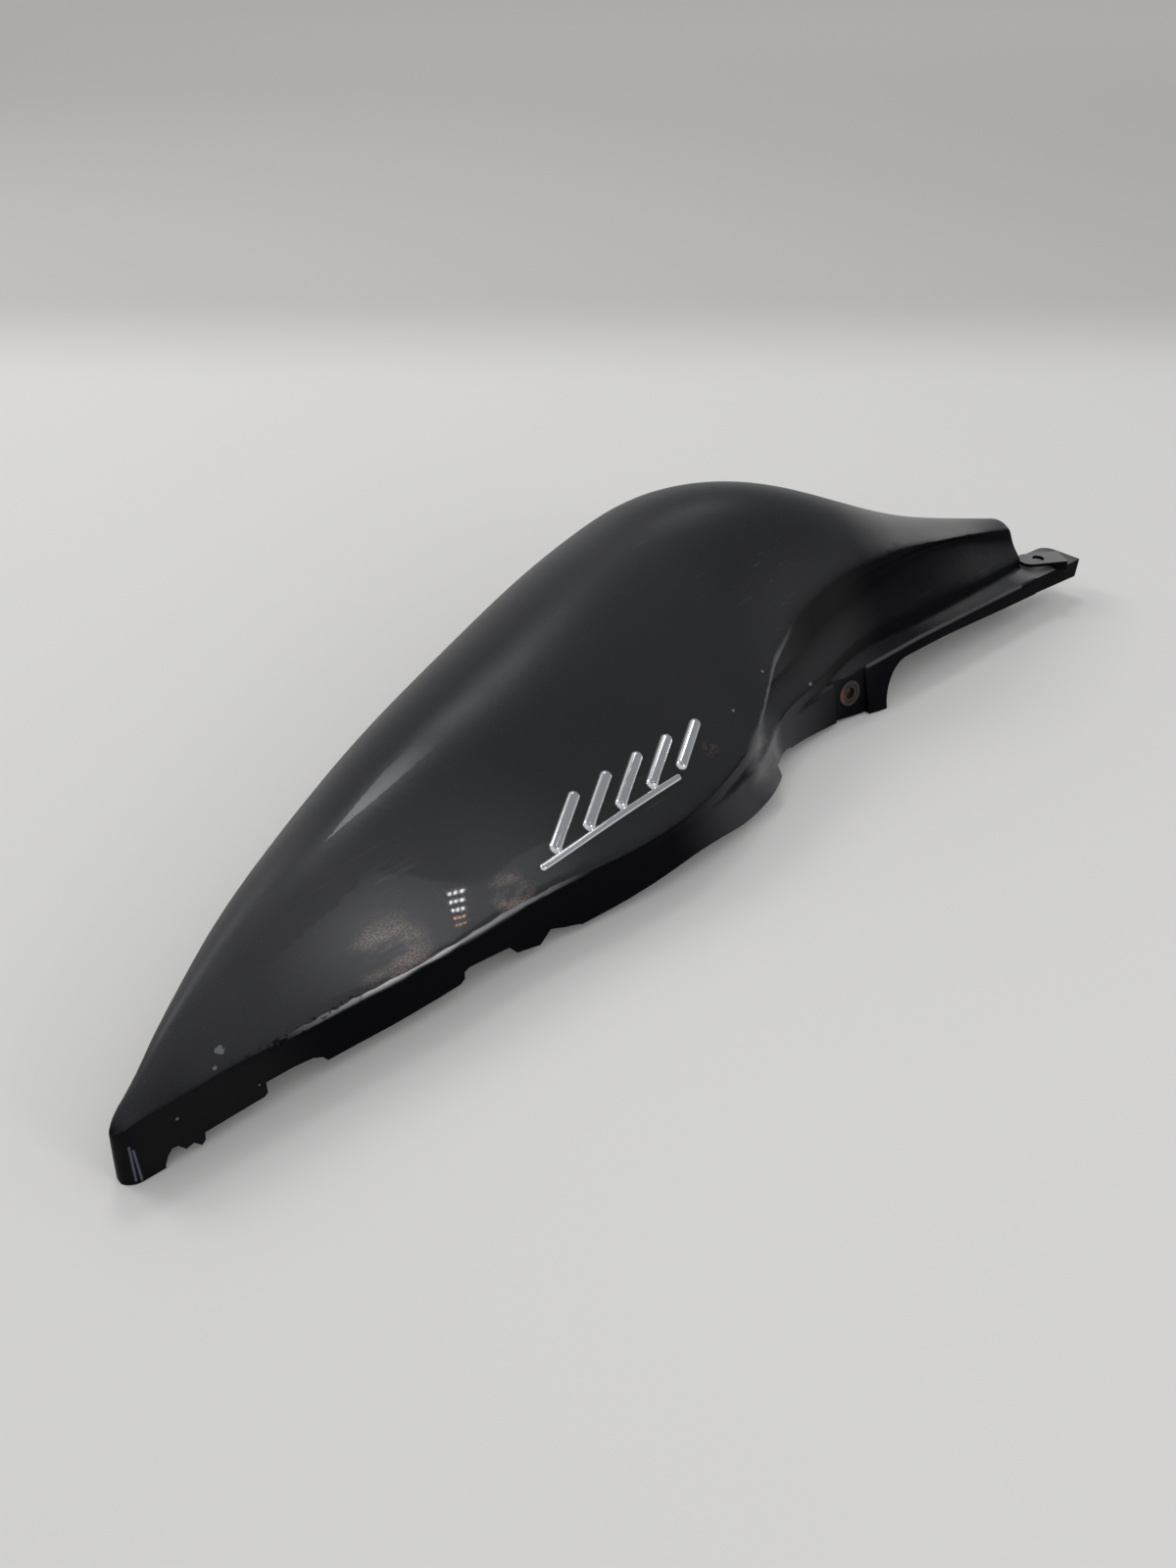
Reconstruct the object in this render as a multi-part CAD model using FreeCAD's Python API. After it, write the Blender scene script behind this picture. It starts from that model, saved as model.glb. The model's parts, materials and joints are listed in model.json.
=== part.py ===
"""Rear side panel of a scooter, lying on its open side: moulded shell, steel collar and emblem."""
import FreeCAD
import Part
import math
import os
from FreeCAD import Matrix, Placement, Rotation, Vector

# shell
BODY_LENGTH = 586.0
WIDTH = 207.0
HEIGHT = 99.0
WALL = 2.5
TIP_R = 7.0
TAIL_R = 4.0
TIP_LEAN = 0.12
TIP_LEAN_RUN = 30.0
TAIL_LEAN = 0.02
TAIL_LEAN_RUN = 40.0
UNDERCUT = 6.0

# cuts along the near rim, and how far a cutting form runs past what it cuts
NEAR_REACH = 0.2
RIM_CUT = 0.22
LIP_CUT = 0.26
PAST = 9.0

# tail lip, flange and lug
ARC_PLACE = 0.784
ARC_R = 22.0
ARC_DROP = 1.5
LIP_FALL = 0.05
FLANGE_LENGTH = 42.0
FLANGE_W = 24.0
FLANGE_INSET = 0.4
FLANGE_R = 8.0
LUG_PLACE = 0.19
LUG_ACROSS = 0.57
LUG_LENGTH = 22.0
LUG_W = 13.5
LUG_T = 2.0
LUG_RISE = 2.6
LUG_TURN = -32.0
LUG_HOLE_R = 3.5
LUG_HOLE_INSET = 6.0
RISER = 7.0

# screw pad and collar
PAD_PLACE = 0.707
PAD_LEVEL = 0.6
PAD_W = 23.0
PAD_H = 20.0
PAD_DEPTH = 1.4
COLLAR_BORE_R = 3.2
COLLAR_WALL = 1.3
COLLAR_FLANGE_R = 7.0
COLLAR_FLANGE_T = 1.2
COLLAR_FIT = 0.1

# emblem
EMBLEM_PLACE = 0.425
EMBLEM_ACROSS = 0.022
EMBLEM_BARS = 5
EMBLEM_PITCH = 19.0
EMBLEM_SLANT = 28.0
EMBLEM_H = 16.0
EMBLEM_BAR_R = 3.1
EMBLEM_LINE_R = 1.8
EMBLEM_BAR_SINK = 0.6
EMBLEM_LINE_SINK = 0.1


def guide(size, *knots):
    """A smooth value along the body: stations in percent of its length, values in percent of a size."""
    points = [Vector(BODY_LENGTH * p / 100, size * v / 100, 0) for p, v in knots]
    curve = Part.BSplineCurve()
    curve.interpolate(Points=points, Parameters=[p.x for p in points])
    return lambda s: curve.value(s).y


# lines that run along the body: near rim, ledge edge, crease, crest and far rim
rim_y = guide(WIDTH, (0, -1.4), (3.4, -2.3), (13.7, -4), (24.7, -6.4), (30.4, -6.9), (36.7, -9.2),
              (43.5, -11.5), (48.6, -11.4), (53.8, -9.7), (57.2, -7.1), (58.7, -4.1), (60.1, -1.4),
              (61.8, 0.5), (66.6, 1.4), (70, 1), (74.6, -2.4), (81.9, 0), (90.4, -0.5), (100.7, -1.9))
rim_z = guide(HEIGHT, (0, 0), (5.3, 1.5), (23.9, 4), (36.7, 4.5), (42.7, 9), (46.9, 11), (52, 6.5),
              (54.6, 8), (57.2, 11), (58.7, 10), (61.8, 7), (66.6, 4), (74.6, 0), (81.9, 0.5), (90.4, 1),
              (100.7, 1))
edge_y = guide(WIDTH, (0, -1.4), (3.4, -2.2), (13.7, -3.8), (24.7, -6.1), (30.4, -6.3), (36.7, -8.8),
               (43.5, -10.6), (48.6, -9.7), (53.8, -7.2), (57.2, -3.9), (58.9, -1), (60.6, 1.4),
               (62.3, 2.9), (66.6, 3.9), (71.7, 3.1), (76.8, 2.4), (81.9, 1.4), (90.4, 0), (100.7, -1.9),
               (107.5, -3.4))
edge_z = guide(HEIGHT, (0, 12), (13.7, 16), (30.4, 17), (43.5, 18), (53.8, 19), (61.8, 20), (67.4, 22),
               (71.7, 27.3), (76.8, 28.3), (90.4, 26.8), (100.7, 25.8), (107.5, 24.5))
crease_y = guide(WIDTH, (0, -1.2), (3.4, -1.9), (13.7, -3.6), (24.7, -5.8), (30.4, -6.1), (36.7, -8.5),
                 (42.2, -10.1), (46.6, -9.7), (50, -8), (53.6, -4.8), (57.2, -0.2), (59.7, 4), (62.7, 8.8),
                 (65.3, 12), (68.8, 13.7), (74, 13.4), (83.6, 13), (90.6, 12.1), (100.7, 9.9))
crease_z = guide(HEIGHT, (0, 27.3), (3.4, 28.8), (13.7, 29.8), (30.4, 30.8), (42.2, 31.3), (50, 34.3),
                 (53.6, 36.4), (55.5, 38.4), (57.2, 41.6), (59.7, 46.9), (62.7, 51.9), (65.3, 57.9),
                 (68.8, 65.9), (71.6, 70), (74, 71.4), (77.1, 70.9), (83.6, 66.7), (90.6, 59.6), (100.7, 48.5))
crest_z = guide(HEIGHT, (0, 28.6), (1.2, 32.3), (4.4, 41.2), (9.7, 48.6), (19.6, 59.3), (29.5, 67.7),
                (41.3, 77.8), (54.8, 88.4), (61.1, 92.9), (66.9, 98.5), (73.9, 100), (80.7, 86),
                (88.4, 68), (92.7, 61.8), (100.7, 51.6))
crest_share = guide(1, (0, 50), (9.7, 56), (29.5, 60), (41.3, 62), (54.8, 62), (61.1, 58), (68.3, 48),
                    (77, 34), (88.4, 24), (100.7, 25))
far_y = guide(WIDTH, (0, 3.9), (4.4, 10.9), (9.7, 23.7), (19.6, 42), (29.5, 56.5), (41.3, 70), (54.8, 82.6),
              (61.1, 86.7), (68.3, 87.4), (77, 74.4), (88.4, 47.3), (100.7, 22.2))
far_z = guide(HEIGHT, (0, 0), (17.1, 0), (73.4, 0), (88.7, 8), (100.7, 20))

# section details in millimetres: ledge width and fall, step above it, hollow of the wall, softness of the
# crease; the hollow lies nearest the crease where that climbs behind the flare
MM = 100
ledge = guide(MM, (0, 0.2), (30.4, 0.2), (53.8, 0.8), (64, 1.5), (68.3, 4), (72.5, 8), (76.8, 9),
              (88.7, 10), (95.5, 11), (100.7, 15))
tread = guide(MM, (0, 2.5), (30.4, 2.5), (53.8, 2.5), (64, 2), (68.3, 1), (72.5, 0.4), (76.8, 0.3),
              (100.7, 0.3))
step = guide(MM, (0, 5), (30.4, 5), (53.8, 6), (64, 7), (68.3, 7), (72.5, 8), (76.8, 9), (88.7, 8),
             (100.7, 6))
sag = guide(MM, (0, 0), (30.4, 0), (36.7, 0.5), (44.9, 2), (51.2, 3), (55.6, 4), (58.2, 9), (60, 12),
            (61.6, 11), (64, 8.5), (71.7, 9), (81.9, 7), (92.2, 4.5), (100.7, 1))
fold = guide(1, (0, 50), (30.4, 50), (51.2, 50), (55.5, 53), (57.4, 62), (59, 70), (60.8, 71), (62.4, 62),
             (65, 52), (71.7, 50), (100.7, 50))
crease_soft = guide(MM, (0, 3), (3.4, 3.6), (30.4, 3.6), (36.7, 7), (44.9, 12), (51.7, 9), (56.3, 4.5),
                    (60, 3.8), (62, 7), (65.5, 15), (72, 18), (90.6, 10), (100.7, 3.5))

PERCENT = [0, 0.12, 0.31, 0.58, 0.94, 1.4, 2.1, 3.1, 4.8, 7.7, 11.1, 15.4, 19.6, 24.2, 29, 33.3, 37.5,
           41.8, 45.2, 48.6, 51.2, 53.4, 55.5, 57.2, 58.7, 60.1, 61.6, 63.5, 65.7, 68.3, 70.3, 72.4, 75.1,
           79.4, 83.6, 88.7, 93.9, 97.3, 98.3, 99, 99.4, 99.75, 100]
STATIONS = [BODY_LENGTH * p / 100 for p in PERCENT]


def rounding(radius, run):
    """How far a surface draws in at a distance run from a rounded end."""
    reach = 0.9 * radius - run
    return radius - math.sqrt(radius ** 2 - reach ** 2) if reach > 0 else 0.0


def mix(a, b, t):
    return (a[0] + (b[0] - a[0]) * t, a[1] + (b[1] - a[1]) * t)


def toward(a, b, d):
    return mix(a, b, min(d / math.dist(a, b), 0.45))


def skin(s):
    """Control points (y, z) of the outer skin at station s, near rim to far rim."""
    pinch = rounding(TIP_R, s)
    roll = rounding(TAIL_R, BODY_LENGTH - s)
    nod = 0.8 * pinch + roll
    rim = (rim_y(s) + pinch, max(rim_z(s), 0.0))
    edge = (edge_y(s) + pinch, edge_z(s))
    foot = (edge[0] + ledge(s), edge[1] + tread(s))
    lip = (edge[0] + ledge(s), edge[1] + step(s))
    crease = (crease_y(s) + pinch, crease_z(s) - nod)
    far = (far_y(s) - pinch - roll, max(far_z(s), 0.0))
    crest = (crease[0] + crest_share(s) * (far[0] - crease[0]), crest_z(s) - nod)
    run = math.dist(lip, crease)
    hollow = mix(lip, crease, fold(s))
    cove = (hollow[0] + sag(s) * (crease[1] - lip[1]) / run,
            hollow[1] - sag(s) * (crease[0] - lip[0]) / run)
    soft = crease_soft(s)
    rise = crest[1] - crease[1]
    span = crest[0] - crease[0]
    back = far[0] - crest[0]
    haunch = (crease[0] + 0.35 * span, crease[1] + 0.42 * rise)
    return [rim, toward(edge, rim, 3), edge, mix(edge, foot, 0.4), foot, lip, toward(lip, cove, 2), cove,
            toward(crease, cove, soft), crease, toward(crease, haunch, soft), haunch,
            (crease[0] + 0.85 * span, crest[1] - 0.03 * rise), (crest[0] + 0.3 * back, crest[1]),
            (crest[0] + 0.75 * back, 0.8 * crest[1]), (far[0], 0.45 * crest[1]), far]


def inset(points, gap):
    """The same control polygon moved inward by the wall, its two ends carried down past the rims."""
    normals = []
    for a, b in zip(points, points[1:]):
        run = math.dist(a, b)
        normals.append(((b[1] - a[1]) / run, (a[0] - b[0]) / run))
    moved = []
    for p, m, n in zip(points, normals[:1] + normals, normals + normals[-1:]):
        reach = gap / (1 + m[0] * n[0] + m[1] * n[1])
        moved.append((p[0] + reach * (m[0] + n[0]), p[1] + reach * (m[1] + n[1])))
    moved[0] = (moved[0][0], moved[0][1] - UNDERCUT)
    moved[-1] = (moved[-1][0], moved[-1][1] - UNDERCUT)
    return moved


def lean(s):
    """Draft of the two end walls: the cross planes tip over toward the middle."""
    tip = max(0.0, 1 - s / TIP_LEAN_RUN)
    tail = max(0.0, 1 - (BODY_LENGTH - s) / TAIL_LEAN_RUN)
    return TIP_LEAN * tip - TAIL_LEAN * tail


def lofted(stations, section):
    """A closed solid whose skin passes through the section of every station, and that skin."""
    columns = []
    for row in zip(*[[Vector(s + lean(s) * z, y, z) for y, z in section(s)] for s in stations]):
        curve = Part.BSplineCurve()
        curve.interpolate(Points=list(row), Parameters=stations)
        columns.append(curve)
    mults, knots = columns[0].getMultiplicities(), columns[0].getKnots()
    poles = list(zip(*[c.getPoles() for c in columns]))
    n = len(columns)
    arch = Part.BSplineSurface()
    arch.buildFromPolesMultsKnots(poles, mults, [4] + [1] * (n - 4) + [4], knots, list(range(n - 2)),
                                  False, False, 3, 3)
    floor = Part.BSplineSurface()
    floor.buildFromPolesMultsKnots([(row[0], row[-1]) for row in poles], mults, [2, 2], knots, [0, 1],
                                   False, False, 3, 1)
    faces = [arch.toShape(), floor.toShape()]
    for s in (stations[0], stations[-1]):
        end = arch.uIso(s)
        faces.append(Part.Face(Part.Wire([end.toShape(), Part.makeLine(end.EndPoint, end.StartPoint)])))
    closed = Part.makeShell(faces)
    closed.sewShape()
    return Part.makeSolid(closed), arch


def box(x0, x1, y0, y1, z0, z1):
    return Part.makeBox(x1 - x0, y1 - y0, z1 - z0, Vector(x0, y0, z0))


def polygon(points):
    return Part.makePolygon(points + points[:1])


def side_cut(edges, depth):
    """An outline drawn in the (s, z) plane and carried across the near side."""
    return Part.Face(Part.Wire(edges)).extrude(Vector(0, depth, 0))


outer, outer_skin = lofted(STATIONS, skin)
inner_stations = [s for s in STATIONS if 2 * WALL < s < BODY_LENGTH - 2 * WALL]
inner_stations = [WALL + 1] + inner_stations + [BODY_LENGTH - WALL]
inner, inner_skin = lofted(inner_stations, lambda s: inset(skin(s), WALL))
panel = outer.cut(inner)

# near rim: two locating tabs with plain edges, and the broken stretches beside them
RIM_LINE = [(2.5, 2), (2.8, 6), (3.15, 8.4), (3.5, 8.2), (3.9, 4.4), (4.4, 5.4), (4.8, 2), (5.1, 3.5),
            (5.2, 7.3), (9.2, 7.7), (9.45, 9.1), (9.5, 14.3), (11.3, 14.1), (12.7, 13.1), (13.35, 10.9),
            (13.65, 7.8), (18.3, 7.6), (23.8, 8.9), (24.15, 10.6), (24.2, 14.1), (24.6, 15.2),
            (26.4, 13.7), (28.1, 12.2), (28.7, 7.1), (29.35, 6.1), (30.7, 4.2), (31.1, 6.1), (31.7, 9.6),
            (32.8, 6.9), (34.3, 4.2), (34.3, -PAST), (2.5, -PAST)]
near = Vector(0, -NEAR_REACH * WIDTH, 0)
notches = polygon([near + Vector(BODY_LENGTH * p / 100, 0, HEIGHT * q / 100) for p, q in RIM_LINE])
panel = panel.cut(side_cut(notches.Edges, RIM_CUT * WIDTH))

# flared skirt: it ends in a square corner, from which the rim drops back toward the screw pad
FLARE_END = [(57.6, -PAST), (57.6, 15.5), (59, 13.2), (60.5, 10.3), (62, 7.5), (62, -PAST)]
corner = polygon([near + Vector(BODY_LENGTH * p / 100, 0, HEIGHT * q / 100) for p, q in FLARE_END])
panel = panel.cut(side_cut(corner.Edges, RIM_CUT * WIDTH))

# tail lip: a round cut-out behind the low corner, then a straight edge falling to the tail's end
arc_s = ARC_PLACE * BODY_LENGTH
arc_z = ARC_R - ARC_DROP


def lip_z(s):
    return arc_z - LIP_FALL * (s - arc_s)


past = BODY_LENGTH + PAST
start = near + Vector(arc_s - ARC_R, 0, arc_z - ARC_R)
bend = near + Vector(arc_s - ARC_R * math.cos(0.8), 0, arc_z - ARC_R + ARC_R * math.sin(0.8))
top = near + Vector(arc_s, 0, arc_z)
corners = [top, near + Vector(past, 0, lip_z(past)), near + Vector(past, 0, -PAST),
           near + Vector(start.x, 0, -PAST), start]
cutout = [Part.makeLine(a, b) for a, b in zip(corners, corners[1:])]
cutout.insert(0, Part.Arc(start, bend, top).toShape())
panel = panel.cut(side_cut(cutout, LIP_CUT * WIDTH))


# tail flange: the ledge and its lip run on past the body's end wall
def flange_ring(s):
    y = edge_y(s) + FLANGE_INSET
    z = edge_z(s) - FLANGE_INSET
    foot = lip_z(s)
    outline = [(y, foot), (y, z), (y + FLANGE_W, z), (y + FLANGE_W, z - WALL), (y + WALL, z - WALL),
               (y + WALL, foot)]
    return polygon([Vector(s, a, b) for a, b in outline])


tail_end = BODY_LENGTH + FLANGE_LENGTH
flange = Part.makeLoft([flange_ring(BODY_LENGTH - WALL), flange_ring(tail_end)], True, True)
inside = edge_y(tail_end) + FLANGE_W / 2
ends = [e for e in flange.Edges if e.BoundBox.XMin > tail_end - 0.01 and e.BoundBox.YLength < 0.01]
flange = flange.makeFillet(FLANGE_R, [e for e in ends if e.BoundBox.YMin > inside])
panel = panel.fuse(flange)

# lug: a flat ear with a screw hole, held just above the flange by a riser under its outer end
lug_s = BODY_LENGTH + LUG_PLACE * FLANGE_LENGTH
flange_top = edge_z(lug_s) - FLANGE_INSET
ear = box(0, LUG_LENGTH, -LUG_W / 2, LUG_W / 2, 0, LUG_T).fuse(Part.makeCylinder(LUG_W / 2, LUG_T))
riser = box(LUG_LENGTH - RISER, LUG_LENGTH, -LUG_W / 2, LUG_W / 2, -LUG_RISE - WALL / 2, LUG_T / 2)
lug = ear.fuse(riser).cut(Part.makeCylinder(LUG_HOLE_R, 3 * LUG_T, Vector(LUG_HOLE_INSET, 0, -LUG_T)))
lug.Placement = Placement(Vector(lug_s, edge_y(lug_s) + LUG_ACROSS * FLANGE_W, flange_top + LUG_RISE),
                          Rotation(Vector(0, 0, 1), LUG_TURN))
panel = panel.fuse(lug)


def find_v(s, measure, low, high):
    """The skin's cross parameter at station s where a rising measure passes zero."""
    while high - low > 1e-6:
        half = (low + high) / 2
        if measure(outer_skin.value(s, half)) < 0:
            low = half
        else:
            high = half
    return low


def outward(s, v):
    n = outer_skin.normal(s, v)
    return n if n.z > 0 else -n


# screw pad: a shallow flat recess open to the skirt's rim, thickened behind, with a hole for the collar
pad_s = PAD_PLACE * BODY_LENGTH
pad_v = find_v(pad_s, lambda p: p.z - PAD_LEVEL * edge_z(pad_s), 0, 2)
p = outer_skin.value(pad_s, pad_v)
n = outward(pad_s, pad_v)
x = (Vector(1, 0, 0) - n * n.x).normalize()
y = n.cross(x)
pad = Placement(Matrix(x.x, y.x, n.x, p.x, x.y, y.y, n.y, p.y, x.z, y.z, n.z, p.z, 0, 0, 0, 1))


def on_pad(shape):
    shape.Placement = pad
    return shape


back_z = -PAD_DEPTH - WALL
backing = on_pad(box(-PAD_W / 2 - WALL, PAD_W / 2 + WALL, -PAD_H / 2 - WALL, PAD_H / 2, back_z, -PAD_DEPTH))
pocket = on_pad(box(-PAD_W / 2, PAD_W / 2, -PAD_H, PAD_H / 2, -PAD_DEPTH, 4 * WALL))
barrel_r = COLLAR_BORE_R + COLLAR_WALL
collar_hole = on_pad(Part.makeCylinder(barrel_r + COLLAR_FIT, 8 * WALL, Vector(0, 0, -4 * WALL)))
panel = panel.fuse(backing).cut(pocket).cut(collar_hole)

# collar: a flanged steel bush pressed through the pad
barrel = Part.makeCylinder(barrel_r, WALL + COLLAR_FLANGE_T, Vector(0, 0, back_z))
brim = Part.makeCylinder(COLLAR_FLANGE_R, COLLAR_FLANGE_T, Vector(0, 0, -PAD_DEPTH))
bore = Part.makeCylinder(COLLAR_BORE_R, 8 * WALL, Vector(0, 0, -4 * WALL))
collar = on_pad(barrel.fuse(brim).cut(bore))

# emblem: slanted round bars standing on an underline, all bedded on the skin
emblem_s = EMBLEM_PLACE * BODY_LENGTH
emblem_y = EMBLEM_ACROSS * WIDTH


def rod(a, b, radius, sink):
    """A round-ended bar between two places in plan, its axis just under the skin."""
    ends = []
    for s, y in (a, b):
        v = find_v(s, lambda p: p.y - y, 7.5, 12)
        ends.append(outer_skin.value(s, v) - outward(s, v) * sink)
    axis = ends[1] - ends[0]
    run = Vector(0, 0, axis.Length)
    side = Vector(radius, 0, 0)
    tip = Vector(0, 0, radius)
    slope = Vector(radius * 0.6, 0, radius * 0.8)
    outline = [Part.makeLine(side, side + run), Part.Arc(side + run, slope + run, tip + run).toShape(),
               Part.makeLine(tip + run, -tip), Part.Arc(-tip, Vector(slope.x, 0, -slope.z), side).toShape()]
    solid = Part.Face(Part.Wire(outline)).revolve(Vector(0, 0, 0), Vector(0, 0, 1), 360)
    solid.Placement = Placement(ends[0], Rotation(Vector(0, 0, 1), axis))
    return solid


first_foot = emblem_s - (EMBLEM_SLANT + EMBLEM_PITCH * (EMBLEM_BARS - 1)) / 2
feet = [first_foot + EMBLEM_PITCH * i for i in range(EMBLEM_BARS)]
low_y = emblem_y - EMBLEM_H / 2
line_y = low_y - EMBLEM_LINE_R
high_y = emblem_y + EMBLEM_H / 2
bars = [rod((s, low_y), (s + EMBLEM_SLANT, high_y), EMBLEM_BAR_R, EMBLEM_BAR_SINK) for s in feet]
underline = rod((feet[0] - EMBLEM_SLANT / 3, line_y), (feet[-1], line_y), EMBLEM_LINE_R, EMBLEM_LINE_SINK)
emblem = underline.multiFuse(bars).cut(outer)

# the frame: length along x, open side down, origin under the middle of the whole
parts = {"side_panel": panel, "mount_collar": collar, "emblem": emblem}
room = panel.optimalBoundingBox(False)
home = Vector(-(room.XMin + room.XMax) / 2, -(room.YMin + room.YMax) / 2, -room.ZMin)
os.makedirs("parts", exist_ok=True)
for name, shape in parts.items():
    shape.translate(home)
    shape.exportStep("parts/" + name + ".step")
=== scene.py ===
import json
import math
from functools import reduce

import bmesh
import bpy
import numpy as np
from mathutils import Matrix, Vector


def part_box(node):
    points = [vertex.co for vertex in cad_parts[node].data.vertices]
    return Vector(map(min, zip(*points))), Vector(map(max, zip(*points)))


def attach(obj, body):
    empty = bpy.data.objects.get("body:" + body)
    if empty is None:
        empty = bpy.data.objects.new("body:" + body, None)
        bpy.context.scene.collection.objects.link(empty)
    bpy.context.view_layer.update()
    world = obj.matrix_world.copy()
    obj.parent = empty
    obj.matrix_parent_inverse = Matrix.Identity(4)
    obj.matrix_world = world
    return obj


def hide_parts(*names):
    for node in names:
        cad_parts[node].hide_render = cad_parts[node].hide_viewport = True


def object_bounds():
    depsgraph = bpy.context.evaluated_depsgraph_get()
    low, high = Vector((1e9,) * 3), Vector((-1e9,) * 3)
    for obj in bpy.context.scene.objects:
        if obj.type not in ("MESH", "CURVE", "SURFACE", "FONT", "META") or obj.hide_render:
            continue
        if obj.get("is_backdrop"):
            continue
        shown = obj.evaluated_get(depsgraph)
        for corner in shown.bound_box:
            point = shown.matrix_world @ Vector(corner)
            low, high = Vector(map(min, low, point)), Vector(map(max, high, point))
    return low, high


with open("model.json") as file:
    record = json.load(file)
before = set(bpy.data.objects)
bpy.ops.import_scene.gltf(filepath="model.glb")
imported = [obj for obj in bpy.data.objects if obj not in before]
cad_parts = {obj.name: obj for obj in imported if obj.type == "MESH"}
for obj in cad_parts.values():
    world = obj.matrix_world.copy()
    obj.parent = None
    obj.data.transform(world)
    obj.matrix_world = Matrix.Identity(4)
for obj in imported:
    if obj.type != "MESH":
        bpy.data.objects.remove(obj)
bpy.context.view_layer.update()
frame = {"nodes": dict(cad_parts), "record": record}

# Side panel: one thin moulding of black plastic, open below, with its tail flange and screw ear moulded on.
# The skin left its mould with a fine satin grain. Use has rubbed it bright beside the crease, left a grey
# haze on what faces up, and chipped, scuffed and scratched it. Light is painted in as well: painted
# highlights along the crease, the fold's rim, the ledge's edge and the tip's corner, painted warm glare
# among grit by the crease, and a cove painted lighter. What faces down, and the tail's ledge, take a
# copy of the plastic that hardly reflects, as painted shade.
MERGE = 1e-6
SHARP_ANGLE = math.radians(32)
RIDGE_RADIUS = 0.004
WEIGHT_FLOOR = 0.3
FIT_CUTOFF = 1e-3
AXIS_LIMIT = 0.6


def numbers(items, field, width):
    """One field of a mesh's items as an array with a row for each item."""
    flat = np.empty(len(items) * width)
    items.foreach_get(field, flat)
    return flat.reshape(-1, width)


def even_shading(mesh):
    """Shades a skin as smooth as it is: off its real edges each point takes the normal of a quadric through
    the points round it. The attribute ridge keeps how tightly the skin turns outward there, from 0 to 1."""
    place = numbers(mesh.vertices, "co", 3)
    normal = numbers(mesh.vertices, "normal", 3)
    corner_point = numbers(mesh.loops, "vertex_index", 1)[:, 0].astype(int)
    corner_normal = numbers(mesh.corner_normals, "vector", 3)
    real_edge = np.zeros(len(place), bool)
    beside = [set() for _ in place]
    for edge in mesh.edges:
        a, b = edge.vertices
        beside[a].add(b)
        beside[b].add(a)
        if edge.use_edge_sharp:
            real_edge[[a, b]] = True
    even = normal.copy()
    ridge = np.zeros(len(place))
    for i in np.flatnonzero(~real_edge):
        ring = beside[i].union(*(beside[k] for k in beside[i] if not real_edge[k])) - {i}
        offset = place[list(ring)] - place[i]
        gap = np.linalg.norm(offset, axis=1)
        scale = gap.mean()
        out = normal[i]
        side = np.cross(out, (1, 0, 0) if abs(out[0]) < AXIS_LIMIT else (0, 1, 0))
        side /= np.linalg.norm(side)
        across = np.cross(out, side)
        x, y, z = (offset @ axis / scale for axis in (side, across, out))
        weight = 1 / (WEIGHT_FLOOR + (gap / scale) ** 2)
        terms = np.stack([x, y, x * x, x * y, y * y], 1) * weight[:, None]
        slope_x, slope_y, xx, xy, yy = np.linalg.lstsq(terms, z * weight, rcond=FIT_CUTOFF)[0]
        even[i] = out - slope_x * side - slope_y * across
        bend = math.hypot(xx - yy, xy) - xx - yy
        ridge[i] = np.clip(RIDGE_RADIUS * bend / scale, 0, 1)
    even /= np.linalg.norm(even, axis=1, keepdims=True)
    smooth = ~real_edge[corner_point]
    corner_normal[smooth] = even[corner_point[smooth]]
    mesh.normals_split_custom_set(corner_normal.tolist())
    mesh.attributes.new("ridge", "FLOAT", "POINT").data.foreach_set("value", ridge)


def placed(mesh, material, node):
    """A finished piece that stands for a node of the part."""
    mesh.materials.clear()
    mesh.materials.append(material)
    piece = bpy.data.objects.new(mesh.name, mesh)
    bpy.context.scene.collection.objects.link(piece)
    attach(piece, "root")
    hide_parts(node)
    return piece


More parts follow.
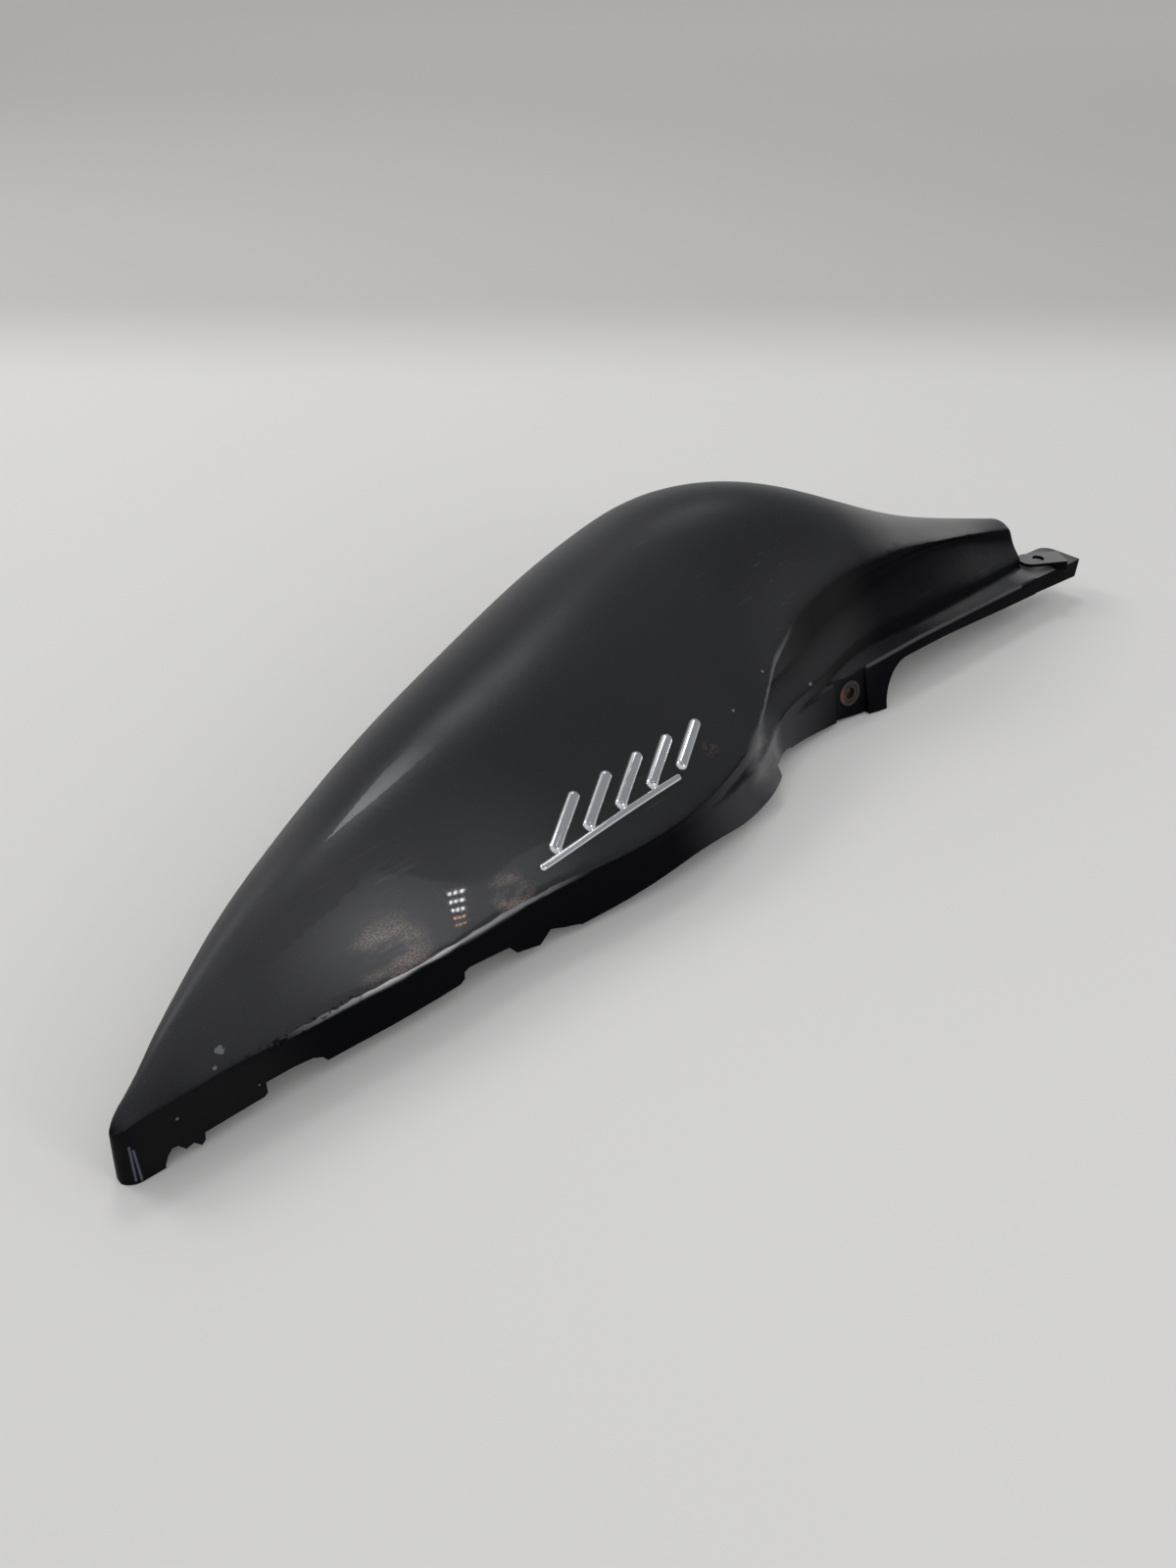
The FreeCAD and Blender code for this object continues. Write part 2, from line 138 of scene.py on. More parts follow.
class Wire:
    """A node's socket: arithmetic on it adds Math nodes, and node() adds any other node to its tree."""

    CORE = 0.3

    def __init__(self, tree, socket=None):
        self.tree = tree
        self.socket = socket

    def node(self, kind, settings=None, values=None, out=0):
        made = self.tree.nodes.new(kind)
        for name, value in (settings or {}).items():
            setattr(made, name, value)
        for name, value in (values or {}).items():
            if isinstance(value, Wire):
                self.tree.links.new(value.socket, made.inputs[name])
            else:
                made.inputs[name].default_value = value
        return Wire(self.tree, made.outputs[out])

    def math(self, operation, *terms):
        return self.node("ShaderNodeMath", {"operation": operation}, dict(enumerate(terms)))

    def vector(self, operation, first, second, out="Vector"):
        return self.node("ShaderNodeVectorMath", {"operation": operation}, {0: first, 1: second}, out)

    def __add__(self, other):
        return self.math("ADD", self, other)

    def __sub__(self, other):
        return self.math("SUBTRACT", self, other)

    def __rsub__(self, other):
        return self.math("SUBTRACT", other, self)

    def __mul__(self, other):
        return self.math("MULTIPLY", self, other)

    def __truediv__(self, other):
        return self.math("DIVIDE", self, other)

    __radd__ = __add__
    __rmul__ = __mul__

    def ease(self, low, high):
        """0 at low, 1 at high, smooth between them; low may be the larger."""
        return self.node("ShaderNodeMapRange", {"interpolation_type": "SMOOTHSTEP"},
                         {"Value": self, "From Min": low, "From Max": high})

    def mixed(self, first, second):
        """Two colours mixed by this factor."""
        return self.node("ShaderNodeMix", {"data_type": "RGBA"}, {0: self, 6: first, 7: second}, 2)

    def noise(self, scale, detail, roughness=0.5):
        """Smooth noise on this vector."""
        return self.node("ShaderNodeTexNoise", None,
                         {"Vector": self, "Scale": scale, "Detail": detail, "Roughness": roughness})

    def patches(self, scale, detail, low, high):
        """Smooth noise on this vector, cut to patches: none below low, full above high."""
        return self.noise(scale, detail).ease(low, high)

    def stretched(self, scale, turn=(0.0, 0.0, 0.0)):
        """This vector turned and then scaled by axis."""
        return self.node("ShaderNodeMapping", None, {"Vector": self, "Rotation": turn, "Scale": scale})

    def apart(self, place):
        """The distance of this vector from a place, in metres."""
        return self.vector("DISTANCE", self, place, "Value")

    def near(self, place, reach):
        """1 at a place in the part's frame, falling to 0 at a distance; both in metres."""
        return self.apart(place).ease(reach, self.CORE * reach)

    def along(self, start, end, width):
        """1 on a straight stretch between two places, falling to 0 at a width from it; all in metres."""
        start, run = Vector(start), Vector(end) - Vector(start)
        toward = run / run.length_squared
        share = self.vector("DOT_PRODUCT", self, toward, "Value") - start.dot(toward)
        share = self.math("MAXIMUM", self.math("MINIMUM", share, 1.0), 0.0)
        step = self.node("ShaderNodeVectorMath", {"operation": "SCALE"}, {0: run, "Scale": share})
        return self.apart(self.vector("ADD", step, start)).ease(width, self.CORE * width)


def most(wires):
    """The largest of several values."""
    return reduce(lambda first, second: first.math("MAXIMUM", first, second), wires)


def finish(name, **constants):
    """A material with a plain surface shader: the material, that shader, and its object coordinates."""
    material = bpy.data.materials.new(name)
    material.use_nodes = True
    surface = material.node_tree.nodes["Principled BSDF"]
    for slot, value in constants.items():
        surface.inputs[slot.replace("_", " ")].default_value = value
    place = Wire(material.node_tree).node("ShaderNodeTexCoord", None, None, "Object")
    return material, surface, place


def feed(node, **wires):
    """Links varying values to a node's sockets by their names."""
    for slot, wire in wires.items():
        node.id_data.links.new(wire.socket, node.inputs[slot.replace("_", " ")])


SATIN_LEVEL = 0.27
SATIN_TINT = (0.90, 0.93, 1.0, 1)
SATIN_ROUGHNESS = 0.31
RUBBED_ROUGHNESS = 0.03
SHADED_LEVEL = 0.01
RELIEF_STRENGTH = 0.12
RELIEF_DEPTH = 0.0004

PLASTIC = (0.0030, 0.0031, 0.0040, 1)
HAZE = (0.0062, 0.0062, 0.0070, 1)
DUST_AND_PAINTED_LIGHT = (0.055, 0.053, 0.052, 1)
TAIL_DUST = (0.15, 0.145, 0.14, 1)
SCUFF = (0.11, 0.11, 0.115, 1)
WORN_EDGE_AND_HIGHLIGHT = (0.29, 0.29, 0.295, 1)
GRIT_AND_GLARE = (0.26, 0.20, 0.165, 1)
CORNER_SHEEN = (0.10, 0.11, 0.15, 1)
LEDGE_HIGHLIGHT = (0.075, 0.075, 0.078, 1)
SCUFF_AND_HIGHLIGHT_GREY = (0.19, 0.19, 0.192, 1)
CHIP = (0.17, 0.17, 0.17, 1)
PIT = (0.0020, 0.0023, 0.0035, 1)
GLUE = (0.040, 0.026, 0.018, 1)

# Places of marks, each with its reach
POLISHED_SPOT = ((-0.170, -0.075, 0.040), 0.080)
CREASE_MIDDLE = ((-0.180, -0.087, 0.031), 0.078)
PITTED_CREASE = ((-0.242, -0.083, 0.031), 0.037)
DUSTY_TIP = ((-0.255, -0.060, 0.040), 0.100)
DUSTY_TAIL = ((0.205, -0.035, 0.068), 0.075)
DUSTY_EAR = ((0.285, -0.072, 0.030), 0.036)
FLARE_END = ((0.020, -0.088, 0.026), 0.028)
FLARE_SKIRT = (FLARE_END[0], 0.085)
FOLD_RIM = ((0.047, -0.063, 0.047), 0.042)
PAINTED_LIGHT_COVE = ((0.091, -0.052, 0.050), 0.055)
TAIL_LEDGE = ((0.165, -0.074, 0.028), 0.080)
TIP_SKIRT = ((-0.280, -0.084, 0.015), 0.050)
GLUE_SPOT = ((-0.0185, -0.0805, 0.0415), 0.006)
GRIT_AND_GLARE_SPOTS = [((-0.197, -0.0815, 0.0350), 0.020), ((-0.142, -0.0862, 0.0336), 0.012)]
CHIPS = [((-0.2687, -0.0782, 0.0341), 0.0018), ((-0.2731, -0.0817, 0.0313), 0.0009),
         ((-0.2780, -0.0722, 0.0385), 0.0007), ((-0.2608, -0.0855, 0.0148), 0.0005),
         ((-0.2907, -0.0835, 0.0206), 0.0007), ((0.0080, -0.0707, 0.0456), 0.0009),
         ((0.0380, -0.0626, 0.0508), 0.0008), ((0.0740, -0.0667, 0.0294), 0.0012)]
CHIP_RAGGED = 1.6
CHIP_CORE = 0.75

# Straight marks, from end to end, with their widths
CORNER_LINES = [((-0.3080, -0.0817, 0.0190), (-0.3098, -0.0821, 0.0020)),
                ((-0.3071, -0.0821, 0.0170), (-0.3080, -0.0826, 0.0015))]
CORNER_WIDTH = 0.0006
LEDGE_LINES = [((0.114, -0.0735, 0.0262), (0.160, -0.0754, 0.0266)),
               ((0.160, -0.0754, 0.0266), (0.254, -0.0809, 0.0252))]
LEDGE_WIDTH = 0.0015

# How far the skin faces up where a mark starts and where it is full
HAZY_SLOPE = (0.25, 0.95)
LIT_SLOPE = (0.40, 0.92)
POLISHED_SLOPE = (0.50, 0.80)
DUSTY_SLOPE = (0.50, 0.90)
TAIL_SLOPE = (0.60, 0.93)
EAR_SLOPE = (0.80, 0.95)
GRITTY_SLOPE = (0.60, 0.80)
FLARE_SLOPE = (0.85, 0.60)
SKIRT_SLOPE = (0.60, 0.35)
TIP_SLOPE = (0.60, 0.30)

# How tightly the skin turns where a mark starts and where it is full,
# and how high the painted highlight on the fold's rim starts
RUBBED_RIDGE = (0.25, 0.60)
HIGHLIGHT_RIDGE = (0.50, 0.90)
PITTED_RIDGE = (0.05, 0.30)
FOLD_RIDGE = (0.30, 0.80)
FOLD_HEIGHT = (0.034, 0.041)

# Noise: its scale and detail, and where it is cut to patches
CLOUD = (11, 3)
CLOUD_CUT = (0.45, 0.65)
MOTTLE = (38, 4)
BROKEN = (430, 3)
BROKEN_CUT = (0.50, 0.60)
GRAIN = (1600, 2)
SPECKLE = (700, 4, 0.65)
SPECKS = (1900, 1, 0.725, 0.76)
GRIT_GRAIN = (1500, 3, 0.44, 0.60)
GLUE_GRAIN = (600, 3, 0.42, 0.55)
STREAKS = (1, 4, 0.35, 0.75)
STREAK_SCALE = (40, 160, 90)
GRIT_PATCHES = (1, 3, 0.36, 0.62)
GRIT_SCALE = (45, 130, 130)
SCRATCHES = (1, 2, 0.655, 0.70)
SCRATCH_SCALE = (14, 420, 420)
SCRATCH_TURN = (0, 0, 0.12)

plastic, shader, at = finish("satin_black_plastic", Specular_IOR_Level=SATIN_LEVEL, Specular_Tint=SATIN_TINT,
                             Coat_Roughness=RUBBED_ROUGHNESS)
facing = at.node("ShaderNodeNewGeometry", None, None, "Normal")
up = at.node("ShaderNodeSeparateXYZ", None, {"Vector": facing}, "Z")
height = at.node("ShaderNodeSeparateXYZ", None, {"Vector": at}, "Z")
ridge = at.node("ShaderNodeAttribute", {"attribute_name": "ridge"}, None, "Fac")
cloud = at.noise(*CLOUD)
mottle = at.noise(*MOTTLE)
broken = at.noise(*BROKEN)
grain = at.noise(*GRAIN)
speckle = at.noise(*SPECKLE)

haze = up.ease(*HAZY_SLOPE) * (0.4 + cloud * 0.6)
polished = at.near(*POLISHED_SPOT) * up.ease(*POLISHED_SLOPE)
creased = at.near(*CREASE_MIDDLE)
rubbed = creased * ridge.ease(*RUBBED_RIDGE)
# Painted highlight: a pale line along the crease's tight ridge, partly wear too.
crease_highlight = creased * ridge.ease(*HIGHLIGHT_RIDGE) * (0.4 + mottle * 0.8)
pits = at.near(*PITTED_CREASE) * ridge.ease(*PITTED_RIDGE) * broken.ease(*BROKEN_CUT)
film = at.near(*DUSTY_TIP) * up.ease(*DUSTY_SLOPE) * (0.4 + mottle * 0.6) * (0.7 + grain * 0.6)
settled = at.near(*DUSTY_TAIL) * up.ease(*TAIL_SLOPE) + at.near(*DUSTY_EAR) * up.ease(*EAR_SLOPE) * 1.3
streaks = at.stretched(STREAK_SCALE).patches(*STREAKS)
flare = at.near(*FLARE_END) * up.ease(*FLARE_SLOPE) * (0.55 + streaks * 0.45)
skirt_film = at.near(*FLARE_SKIRT) * up.ease(*SKIRT_SLOPE)
tip_skirt = at.near(*TIP_SKIRT) * up.ease(*TIP_SLOPE) * (0.5 + mottle * 0.6)
# Painted highlight along the fold's rim, partly wear too.
fold_highlight = at.near(*FOLD_RIM) * ridge.ease(*FOLD_RIDGE) * height.ease(*FOLD_HEIGHT) * (0.4 + mottle * 0.6)
# Painted highlight: two thin bluish lines down the tip's corner.
corner = sum(at.along(start, end, CORNER_WIDTH) for start, end in CORNER_LINES)
# Painted highlight: a pale line along the ledge's outer edge.
ledge_highlight = most([at.along(start, end, LEDGE_WIDTH) for start, end in LEDGE_LINES])
patchy = at.stretched(GRIT_SCALE).patches(*GRIT_PATCHES)
# Painted reflection: warm patches by the crease that stand in for warm glare, speckled like grit and partly
# grit.
grit_and_glare_spots = sum(at.near(spot, reach) for spot, reach in GRIT_AND_GLARE_SPOTS)
grit_and_glare = grit_and_glare_spots * patchy * up.ease(*GRITTY_SLOPE) * (0.25 + at.patches(*GRIT_GRAIN) * 0.75)
scratched = at.stretched(SCRATCH_SCALE, SCRATCH_TURN).patches(*SCRATCHES) * cloud.ease(*CLOUD_CUT)
specks = at.patches(*SPECKS)
glue = at.near(*GLUE_SPOT) * at.patches(*GLUE_GRAIN)
chipped = most([(at.apart(spot) + (speckle - 0.5) * (CHIP_RAGGED * reach)).ease(reach, CHIP_CORE * reach)
                for spot, reach in CHIPS])

colour = haze.mixed(PLASTIC, HAZE)
for cover, tint in [
        (film * 0.38, DUST_AND_PAINTED_LIGHT),
        (settled * (0.6 + mottle * 0.5), TAIL_DUST),
        # Painted light: the cove is lightened in the dust's colour.
        (at.near(*PAINTED_LIGHT_COVE) * 0.22, DUST_AND_PAINTED_LIGHT),
        (skirt_film * 0.4, SCUFF),
        (flare * 0.85, SCUFF_AND_HIGHLIGHT_GREY),
        (fold_highlight * 0.7, SCUFF_AND_HIGHLIGHT_GREY),
        (corner * 0.8, CORNER_SHEEN),
        (ledge_highlight * (0.5 + mottle * 0.6), LEDGE_HIGHLIGHT),
        (tip_skirt * 0.14, DUST_AND_PAINTED_LIGHT),
        (scratched * 0.30 * up.ease(*DUSTY_SLOPE), DUST_AND_PAINTED_LIGHT),
        (specks * 0.5 * haze, SCUFF),
        (crease_highlight * 0.9, WORN_EDGE_AND_HIGHLIGHT),
        (grit_and_glare * 0.7, GRIT_AND_GLARE),
        (pits * 0.9, PIT),
        (chipped * 0.65, CHIP),
        (glue * 0.9, GLUE)]:
    colour = cover.mixed(colour, tint)
roughness = SATIN_ROUGHNESS + mottle * 0.08 + film * 0.10 + flare * 0.25 + chipped * 0.30 - polished * 0.10
relief = grain * 0.22 + broken * 0.8 + mottle * 0.20 - chipped * 0.8 - pits * 0.5
bump = at.node("ShaderNodeBump", None,
               {"Height": relief, "Strength": RELIEF_STRENGTH, "Distance": RELIEF_DEPTH}, "Normal")
feed(shader, Base_Color=colour, Roughness=roughness, Coat_Weight=polished * 0.5 + rubbed * 0.5, Normal=bump)
# Painted shade: what faces down, and the tail's ledge, take this copy of the plastic that hardly reflects.
shaded_plastic = plastic.node_tree.nodes.new("ShaderNodeBsdfPrincipled")
shaded_plastic.inputs["Specular IOR Level"].default_value = SHADED_LEVEL
feed(shaded_plastic, Base_Color=colour, Roughness=roughness, Normal=bump)
upward = up.ease(*LIT_SLOPE) * (1 - at.near(*TAIL_LEDGE) * 0.8)
lit_share = most([upward, rubbed]) * (1 - pits * 0.8)
blend = at.node("ShaderNodeMixShader", None,
                {0: lit_share, 1: Wire(at.tree, shaded_plastic.outputs[0]), 2: Wire(at.tree, shader.outputs[0])})
feed(plastic.node_tree.nodes["Material Output"], Surface=blend)

skin = bpy.data.meshes.new("panel_moulding")
form = bmesh.new()
form.from_mesh(frame["nodes"]["side_panel"].data)
bmesh.ops.remove_doubles(form, verts=form.verts, dist=MERGE)
form.to_mesh(skin)
form.free()
skin.attributes.remove(skin.attributes["custom_normal"])
skin.shade_smooth()
skin.set_sharp_from_angle(angle=SHARP_ANGLE)
even_shading(skin)
panel = placed(skin, plastic, "side_panel")

# Mount collar: a flanged steel bush turned from bar, once plated, and set through the screw pad.
# A groove parts its flange from the lip round the bore. It has rusted, with grey metal left where a screw
# rubbed it.
BARREL_R = 0.0045
BRIM_R = 0.0070
BRIM_T = 0.0012
LIP_R = 0.0043
GROOVE_R = 0.0050
GROOVE_DEEP = 0.0006
EASED = 0.00025
TURNS = 96
RUST_DARK = (0.007, 0.006, 0.0055, 1)
RUST_BROWN = (0.034, 0.020, 0.013, 1)
RUST_ORANGE = (0.11, 0.046, 0.021, 1)
STEEL = (0.060, 0.058, 0.056, 1)
RUSTY_SIDE = ((0.0943, -0.0720, 0.0150), 0.0065)
CRUST = (2400, 4)
BROWN_CUT = (0.35, 0.68)
ORANGE_CUT = (0.25, 0.55)
BARE = (380, 4, 0.52, 0.62)
CRUST_STRENGTH = 0.6
CRUST_DEPTH = 0.0004

bore = next(mount for mount in frame["record"]["mounts"] if mount["name"] == "collar_bore")
bore_r = bore["dims"]["r_mm"] / 1000
top = bore["dims"]["length_mm"] / 2000
turned = [(bore_r, -top), (BARREL_R, -top), (BARREL_R, top - BRIM_T), (BRIM_R - EASED, top - BRIM_T),
          (BRIM_R, top - BRIM_T + EASED), (BRIM_R, top - EASED), (BRIM_R - EASED, top),
          (GROOVE_R + EASED, top), (GROOVE_R, top - GROOVE_DEEP), (LIP_R + EASED, top - GROOVE_DEEP),
          (LIP_R, top - EASED), (LIP_R - EASED, top), (bore_r + EASED, top), (bore_r, top - EASED)]
axis = Vector(bore["axis"]).normalized()
seat = Matrix.Translation(bore["pos_m"]) @ axis.to_track_quat("Z", "Y").to_matrix().to_4x4()

rusted, shader, at = finish("rusted_steel")
crust = at.noise(*CRUST)
bare = at.patches(*BARE)
colour = crust.ease(*BROWN_CUT).mixed(RUST_DARK, RUST_BROWN)
colour = (at.near(*RUSTY_SIDE) * crust.ease(*ORANGE_CUT)).mixed(colour, RUST_ORANGE)
colour = (bare * 0.7).mixed(colour, STEEL)
bump = at.node("ShaderNodeBump", None,
               {"Height": crust * (1 - bare), "Strength": CRUST_STRENGTH, "Distance": CRUST_DEPTH}, "Normal")
feed(shader, Base_Color=colour, Roughness=0.85 - bare * 0.30, Metallic=bare * 0.7, Normal=bump)

form = bmesh.new()
rings = []
for k in range(TURNS):
    turn = Matrix.Rotation(2 * math.pi * k / TURNS, 4, "Z")
    rings.append([form.verts.new(seat @ turn @ Vector((r, 0, h))) for r, h in turned])
for ring, after in zip(rings, rings[1:] + rings[:1]):
    for i in range(len(turned)):
        form.faces.new((ring[i - 1], after[i - 1], after[i], ring[i]))
bmesh.ops.recalc_face_normals(form, faces=form.faces)
ring_mesh = bpy.data.meshes.new("rusty_collar")
form.to_mesh(ring_mesh)
form.free()
ring_mesh.shade_smooth()
ring_mesh.set_sharp_from_angle(angle=SHARP_ANGLE)
placed(ring_mesh, rusted, "mount_collar")

# Emblem: slanted half-round bars with round ends and a thin underline, moulded in plastic, chrome plated
# and stuck to the skin, whose curve they follow. Their crowns are a darker grey than their flanks, as in the
# photograph, where they mirror a dim ceiling.
BARS = 5
PITCH = 0.019
SLANT = 0.028
REACH = 0.016
LEAD = 1 / 3
BAR_R = 0.0031
BAR_SINK = 0.0006
BAR_POINTS = 72
LINE_R = 0.0018
LINE_SINK = 0.0003
LINE_POINTS = 160
PROFILE_POINTS = 28
FLAT_BACK = 0.05
SKIN_TILT = math.radians(28)
ABOVE = 0.2
RAY = 1.0
EVENING = 10
WELD = 2e-5
CHROME = (0.78, 0.785, 0.80, 1)
CROWN_CHROME = (0.33, 0.34, 0.36, 1)
CROWN_TURN = (0.72, 0.93)
PORE = (0.20, 0.19, 0.18, 1)
BLOOM = (240, 4, 0.50, 0.75)
PORES = (1500, 2, 0.64, 0.70)

chrome, shader, at = finish("plated_chrome", Metallic=1.0)
bloom = at.patches(*BLOOM)
pores = at.patches(*PORES)
facing = at.node("ShaderNodeNewGeometry", None, None, "Normal")
outward = (0.0, -math.sin(SKIN_TILT), math.cos(SKIN_TILT))
crown = at.vector("DOT_PRODUCT", facing, outward, "Value").ease(*CROWN_TURN)
colour = (pores * 0.5).mixed(crown.mixed(CHROME, CROWN_CHROME), PORE)
feed(shader, Base_Color=colour, Roughness=0.07 + bloom * 0.10 + pores * 0.3)

low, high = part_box("emblem")
foot = (low[0] + SLANT * LEAD + LINE_R, high[1] - REACH - BAR_R * math.cos(SKIN_TILT))
group = bpy.data.node_groups.new("bedded_bars", "GeometryNodeTree")
group.interface.new_socket(name="Geometry", in_out="OUTPUT", socket_type="NodeSocketGeometry")
settings = {"Panel": ("Object", panel), "Finish": ("Material", chrome), "Bars": ("Int", BARS),
            "Pitch": ("Float", PITCH), "Slant": ("Float", SLANT), "Reach": ("Float", REACH),
            "Bar Radius": ("Float", BAR_R), "Line Radius": ("Float", LINE_R)}
identifiers = {}
for name, (kind, value) in settings.items():
    socket = group.interface.new_socket(name=name, in_out="INPUT", socket_type="NodeSocket" + kind)
    identifiers[name] = socket.identifier
wire = Wire(group)
inputs = group.nodes.new("NodeGroupInput").outputs
given = {name: Wire(group, inputs[name]) for name in settings}
target = wire.node("GeometryNodeObjectInfo", None, {"Object": given["Panel"]}, "Geometry")


def spot(x, y):
    """A point in plan."""
    return wire.node("ShaderNodeCombineXYZ", None, {"X": x, "Y": y})


circle = wire.node("GeometryNodeCurvePrimitiveCircle", None,
                   {"Resolution": PROFILE_POINTS, "Radius": 1.0}, "Curve")
sides = {axis: wire.node("ShaderNodeSeparateXYZ", None, {0: wire.node("GeometryNodeInputPosition")}, axis)
         for axis in ("X", "Y")}
half_round = wire.node("GeometryNodeSetPosition", None, {
    "Geometry": circle, "Position": spot(wire.math("MAXIMUM", sides["X"], FLAT_BACK), sides["Y"])})


def bedded(line, count, radius, sink):
    """A half-round bar with round ends that follows a line drawn in plan down onto the panel."""
    line = wire.node("GeometryNodeResampleCurve", None, {"Curve": line, "Count": count})
    line = wire.node("GeometryNodeSetPosition", None, {"Geometry": line, "Offset": (*foot, ABOVE)})
    hit = wire.node("GeometryNodeRaycast", {"data_type": "FLOAT_VECTOR"}, {
        "Target Geometry": target, "Attribute": wire.node("GeometryNodeInputNormal"),
        "Ray Direction": (0, 0, -1), "Ray Length": RAY}, "Hit Position")
    normal = Wire(group, hit.socket.node.outputs["Attribute"])
    down = wire.node("ShaderNodeVectorMath", {"operation": "SCALE"}, {0: normal, "Scale": -sink})
    even = [wire.node("GeometryNodeBlurAttribute", {"data_type": "FLOAT_VECTOR"},
                      {"Value": field, "Iterations": EVENING})
            for field in (normal, wire.vector("ADD", hit, down))]
    line = wire.node("GeometryNodeSetCurveNormal", {"mode": "FREE"}, {"Curve": line, "Normal": even[0]})
    line = wire.node("GeometryNodeSetPosition", None, {"Geometry": line, "Position": even[1]})
    along = wire.node("GeometryNodeSplineParameter", None, None, "Length")
    length = wire.node("GeometryNodeSplineLength", None, None, "Length")
    inset = wire.math("MINIMUM", wire.math("MINIMUM", along, length - along) / radius, 1.0)
    swell = wire.math("SQRT", wire.math("MAXIMUM", 1 - (1 - inset) * (1 - inset), 0.0))
    return wire.node("GeometryNodeCurveToMesh", None,
                     {"Curve": line, "Profile Curve": half_round, "Scale": swell * radius})


stroke = wire.node("GeometryNodeCurvePrimitiveLine", None,
                   {"Start": (0, 0, 0), "End": spot(given["Slant"], given["Reach"])})
feet = wire.node("GeometryNodeMeshLine", None, {"Count": given["Bars"], "Offset": spot(given["Pitch"], 0.0)})
row = wire.node("GeometryNodeInstanceOnPoints", None, {"Points": feet, "Instance": stroke})
row = wire.node("GeometryNodeRealizeInstances", None, {"Geometry": row})
below = given["Line Radius"] * -1.0
ends = [spot(given["Slant"] * -LEAD, below), spot(given["Pitch"] * (given["Bars"] - 1), below)]
underline = wire.node("GeometryNodeCurvePrimitiveLine", None, {"Start": ends[0], "End": ends[1]})
both = wire.node("GeometryNodeJoinGeometry")
for made in (bedded(row, BAR_POINTS, given["Bar Radius"], BAR_SINK),
             bedded(underline, LINE_POINTS, given["Line Radius"], LINE_SINK)):
    group.links.new(made.socket, both.socket.node.inputs[0])
both = wire.node("GeometryNodeMergeByDistance", None, {"Geometry": both, "Distance": WELD})
both = wire.node("GeometryNodeRealizeInstances", None, {"Geometry": both})
both = wire.node("GeometryNodeSetMaterial", None, {"Geometry": both, "Material": given["Finish"]})
feed(group.nodes.new("NodeGroupOutput"), Geometry=both)

carrier = bpy.data.objects.new("carrier", bpy.data.meshes.new("carrier"))
bpy.context.scene.collection.objects.link(carrier)
modifier = carrier.modifiers.new("bars", "NODES")
modifier.node_group = group
for name, (kind, value) in settings.items():
    modifier[identifiers[name]] = value
evaluated = carrier.evaluated_get(bpy.context.evaluated_depsgraph_get())
bar_mesh = bpy.data.meshes.new_from_object(evaluated)
bar_mesh.name = "emblem_bars"
carrier.modifiers.clear()
bpy.data.objects.remove(carrier)
form = bmesh.new()
form.from_mesh(bar_mesh)
bmesh.ops.recalc_face_normals(form, faces=form.faces)
form.to_mesh(bar_mesh)
form.free()
bar_mesh.shade_smooth()
bar_mesh.set_sharp_from_angle(angle=SHARP_ANGLE)
placed(bar_mesh, chrome, "emblem")

# Stage: a pale table of matt paper that the part lies on.
# The paper is painted a little darker behind the part and paler again farther off, as the photograph's backdrop
# does: painted shade, then painted light far off where the lamps fall off.
FLOOR_REACH = 8.0
FLOOR_NEAR = (0.68, 0.67, 0.655, 1)
FLOOR_TURN = (0.50, 0.49, 0.47, 1)
FLOOR_FAR = (0.60, 0.585, 0.565, 1)
SIGHT = Vector((0.6794, 0.7337, 0.0))
TURN_FROM_TO = (0.51, 0.81)
FAR_FROM_TO = (1.16, 3.56)

bpy.ops.mesh.primitive_plane_add(size=2 * FLOOR_REACH)
floor = bpy.context.object
floor.name = "table"
paper, shader, at = finish("pale_paper", Roughness=0.85, Specular_IOR_Level=0.2)
away = at.vector("DOT_PRODUCT", at, SIGHT, "Value")
colour = away.ease(*FAR_FROM_TO).mixed(FLOOR_TURN, FLOOR_FAR)
feed(shader, Base_Color=away.ease(*TURN_FROM_TO).mixed(FLOOR_NEAR, colour))
floor.data.materials.append(paper)
floor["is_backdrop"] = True

# Light: a soft even room, a key lamp behind the part on the left, a soft panel over the far side and a low
# lamp on the near side. Over the crease are a dim panel and a grid of small lamps, white in its first rows
# and warm in its last ones.
ROOM = (0.97, 0.98, 1.0, 1)
ROOM_LEVEL = 0.68
GLARE_SPOT = (-0.17, -0.08, 0.04)
GLARE_SPREAD = math.radians(26)
GRID_CORNER = Vector((0.2285, -0.3377, 0.91))
GRID_ACROSS = Vector((0.0095, -0.0023, 0))
GRID_DOWN = Vector((-0.0060, -0.0180, 0))
GRID_COLUMNS = 3
GRID_LAMP = (0.0065, 0.0035)
GRID_WATTS = 0.00009
GRID_COLOURS = [(1, 1, 1), (1, 1, 1), (1, 1, 1), (0.6, 0.36, 0.2), (0.4, 0.24, 0.12)]

world = bpy.data.worlds.new("studio")
bpy.context.scene.world = world
world.use_nodes = True
room = world.node_tree.nodes["Background"]
room.inputs["Color"].default_value = ROOM
room.inputs["Strength"].default_value = ROOM_LEVEL


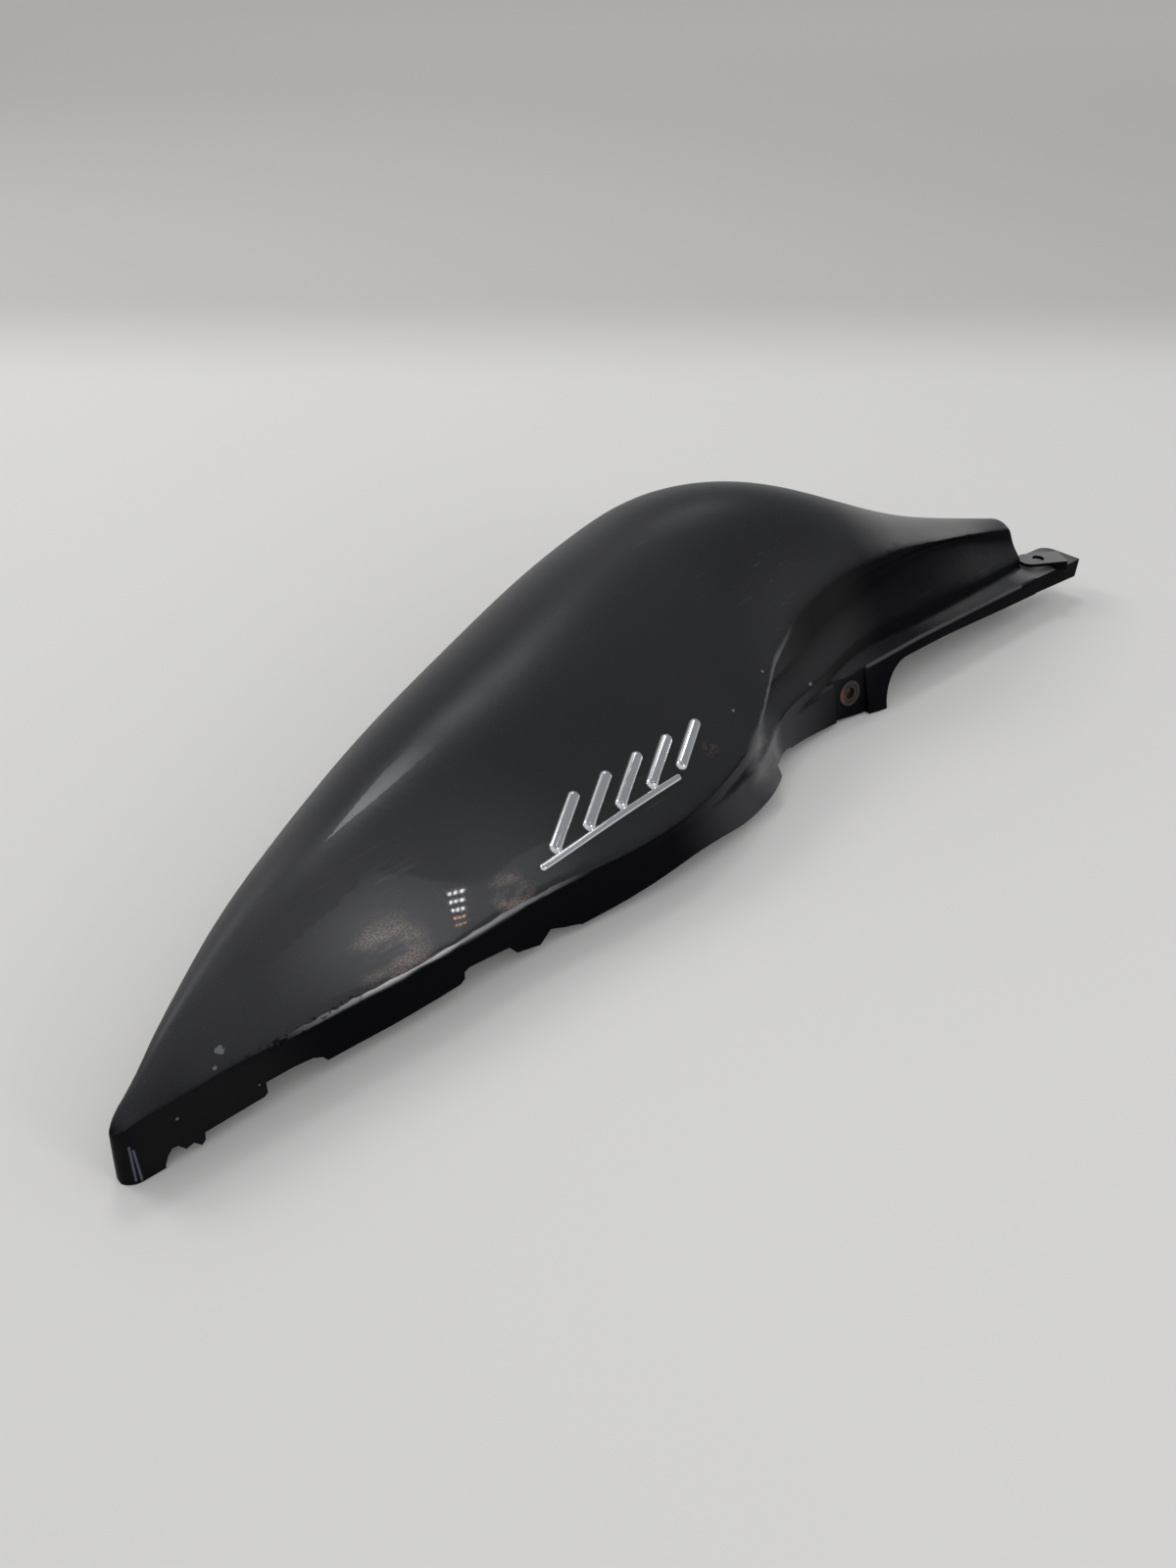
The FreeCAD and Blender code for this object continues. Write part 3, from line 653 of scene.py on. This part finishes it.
def softbox(name, place, target, size, watts, colour=(1, 1, 1), spread=math.pi):
    """A rectangular soft lamp at a place, faced at a target, with its first side level."""
    lamp = bpy.data.lights.new(name, "AREA")
    lamp.shape = "RECTANGLE"
    lamp.size, lamp.size_y = size
    lamp.energy = watts
    lamp.color = colour
    lamp.spread = spread
    made = bpy.data.objects.new(name, lamp)
    bpy.context.scene.collection.objects.link(made)
    made.location = place
    made.rotation_euler = (Vector(place) - Vector(target)).to_track_quat("Z", "Y").to_euler()


softbox("key", place=(-0.78, 1.67, 1.54), target=(0, 0, 0), size=(0.8, 0.8), watts=12)
softbox("far_panel", place=(0.567, 0.879, 1.95), target=(-0.05, 0, 0.06), size=(0.55, 0.42), watts=6.0)
softbox("low_lamp", place=(0.096, -1.157, 0.50), target=(-0.19, -0.09, 0.03), size=(0.3, 0.4), watts=2.3)
softbox("dim_panel", place=(0.09, -0.39, 0.92), target=GLARE_SPOT, size=(0.32, 0.32), watts=0.011,
        colour=(0.92, 0.95, 1), spread=GLARE_SPREAD)
for row, tint in enumerate(GRID_COLOURS):
    for column in range(GRID_COLUMNS):
        place = GRID_CORNER + column * GRID_ACROSS + row * GRID_DOWN
        softbox(f"grid_{row}_{column}", place, GLARE_SPOT, GRID_LAMP, GRID_WATTS, tint, GLARE_SPREAD)

# Camera: at the photograph's place above the tip, looking along the panel and down.
# Its lens gives the photograph's field of view over its longer side.
CAMERA_PLACE = (-0.3556, -0.3621, 0.3615)
PITCH_DOWN = math.radians(38)
FOCAL_PIXELS = 1200
LONG_SIDE_PIXELS = 1600
NEAREST = 0.01

lens = bpy.data.cameras.new("camera")
lens.lens = lens.sensor_width * FOCAL_PIXELS / LONG_SIDE_PIXELS
lens.clip_start = NEAREST
camera = bpy.data.objects.new("camera", lens)
bpy.context.scene.collection.objects.link(camera)
camera.location = CAMERA_PLACE
aim = SIGHT * math.cos(PITCH_DOWN) - Vector((0, 0, math.sin(PITCH_DOWN)))
camera.rotation_euler = aim.to_track_quat("-Z", "Y").to_euler()
bpy.context.scene.camera = camera
bpy.context.scene.view_settings.view_transform = "Standard"

low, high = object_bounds()
